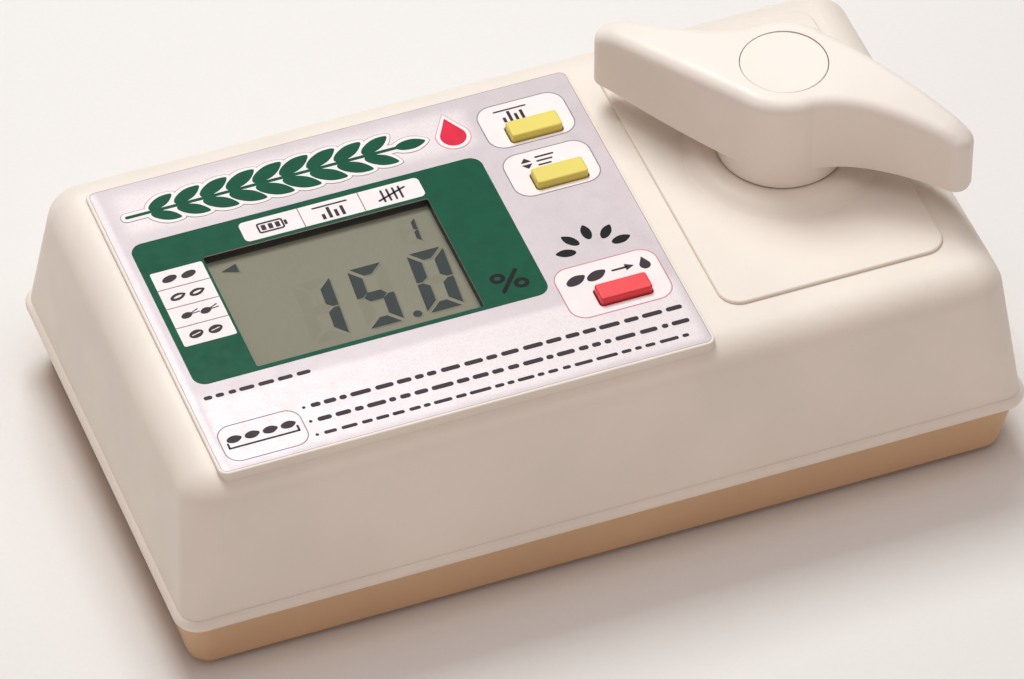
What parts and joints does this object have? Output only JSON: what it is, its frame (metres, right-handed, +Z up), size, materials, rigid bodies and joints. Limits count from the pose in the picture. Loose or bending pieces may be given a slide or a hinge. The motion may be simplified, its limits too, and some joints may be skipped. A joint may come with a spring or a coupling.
{
  "type": "grain moisture meter",
  "caption": "Bench meter for grain moisture: a winged handle screws a press onto a sample dish that slides in from the side; push keys and a liquid-crystal readout.",
  "frame": {"origin": "centre of the footprint, on the surface that the rubber feet stand on", "axes": "+X along the case from the readout to the press, +Y towards the back, +Z up"},
  "size_m": [0.2, 0.112, 0.0822],
  "materials": {
    "ivory_case": "moulded ABS, fine texture, ivory",
    "ivory_handle": "moulded ABS, satin, ivory",
    "label_print": "printed silver-grey polyester sheet with a green panel",
    "black_plastic": "moulded black plastic",
    "clear_window": "clear acrylic",
    "lcd_glass": "reflective liquid-crystal cell, grey-green",
    "conductive_rubber": "striped conductive elastomer",
    "circuit_board": "green glass-epoxy laminate",
    "steel_screws": "zinc plated steel",
    "yellow_key": "moulded yellow plastic",
    "red_key": "moulded red plastic",
    "battery_sleeve": "printed sleeve over a steel can",
    "spring_metal": "nickel plated spring strip",
    "red_wire": "red PVC insulation",
    "black_wire": "black PVC insulation",
    "white_wire": "white PVC insulation",
    "green_wire": "green PVC insulation",
    "grey_wire": "grey PVC insulation",
    "cast_frame": "die-cast aluminium, as cast",
    "brass": "turned brass",
    "bright_steel": "turned steel",
    "phenolic": "machined insulating laminate",
    "stainless": "pressed stainless steel",
    "foot_rubber": "moulded rubber",
    "foil_plate": "blank aluminium foil plate"
  },
  "bodies": {
    "case": {"top_cover": "ivory_case", "base_tray": "ivory_case", "rubber_feet": "foot_rubber", "case_screws": "steel_screws", "rating_plate": "foil_plate", "label_sheet": "label_print", "lcd_bezel": "black_plastic", "lcd_window": "clear_window", "lcd_glass": "lcd_glass", "lcd_holder": "black_plastic", "elastomer_strips": "conductive_rubber", "main_pcb": "circuit_board", "pcb_screws": "steel_screws", "microcontroller": "black_plastic", "capacitors": "battery_sleeve", "lead_connectors": "phenolic", "tact_switches": "black_plastic", "battery_cells": "battery_sleeve", "positive_contacts": "spring_metal", "negative_springs": "spring_metal", "battery_lead_red": "red_wire", "battery_lead_black": "black_wire", "electrode_lead": "white_wire", "earth_lead": "green_wire", "sensor_lead": "grey_wire", "press_frame": "cast_frame", "frame_screws": "steel_screws", "spindle_nut": "brass", "stop_pin": "bright_steel", "lower_insulator": "phenolic", "lower_electrode": "stainless", "dish_guide": "black_plastic", "temperature_sensor": "bright_steel"},
    "press": {"press_plate": "stainless", "guide_pins": "bright_steel", "thrust_pad": "brass", "press_retainer": "bright_steel", "retainer_screws": "steel_screws"},
    "handle": {"handle": "ivory_handle", "handle_cap": "ivory_handle", "handle_washer": "steel_screws", "handle_screw": "steel_screws", "spindle": "bright_steel", "stop_collar": "bright_steel"},
    "dish": {"sample_dish": "stainless", "dish_grip": "black_plastic", "dish_rivets": "bright_steel"},
    "average_key": {"average_cap": "yellow_key", "average_plunger": "black_plastic"},
    "select_key": {"select_cap": "yellow_key", "select_plunger": "black_plastic"},
    "measure_key": {"measure_cap": "red_key", "measure_plunger": "black_plastic"},
    "battery_door": {"battery_door": "ivory_case"}
  },
  "joints": [
    {"name": "handle_turn", "type": "hinge", "parent": "press", "child": "handle", "pos_m": [0.062, 0.002, 0.07], "axis": [0, 0, 1], "range_deg": [0, 300]},
    {"name": "press_lift", "type": "slide", "parent": "case", "child": "press", "axis": [0, 0, 1], "range_m": [0, 0.005]},
    {"name": "dish_slide", "type": "slide", "parent": "case", "child": "dish", "axis": [1, 0, 0], "range_m": [0, 0.08]},
    {"name": "average_push", "type": "slide", "parent": "case", "child": "average_key", "axis": [0, 0, -1], "range_m": [0, 0.0008], "stiffness_N_per_m": 900, "springref_m": -0.0004},
    {"name": "select_push", "type": "slide", "parent": "case", "child": "select_key", "axis": [0, 0, -1], "range_m": [0, 0.0008], "stiffness_N_per_m": 900, "springref_m": -0.0004},
    {"name": "measure_push", "type": "slide", "parent": "case", "child": "measure_key", "axis": [0, 0, -1], "range_m": [0, 0.0008], "stiffness_N_per_m": 900, "springref_m": -0.0004},
    {"name": "door_slide", "type": "slide", "parent": "case", "child": "battery_door", "axis": [0, 1, 0], "range_m": [0, 0.085]}
  ],
  "couplings": [
    {"joint": "handle_turn", "follows": "press_lift", "rad_per_m": 1047.2}
  ]
}
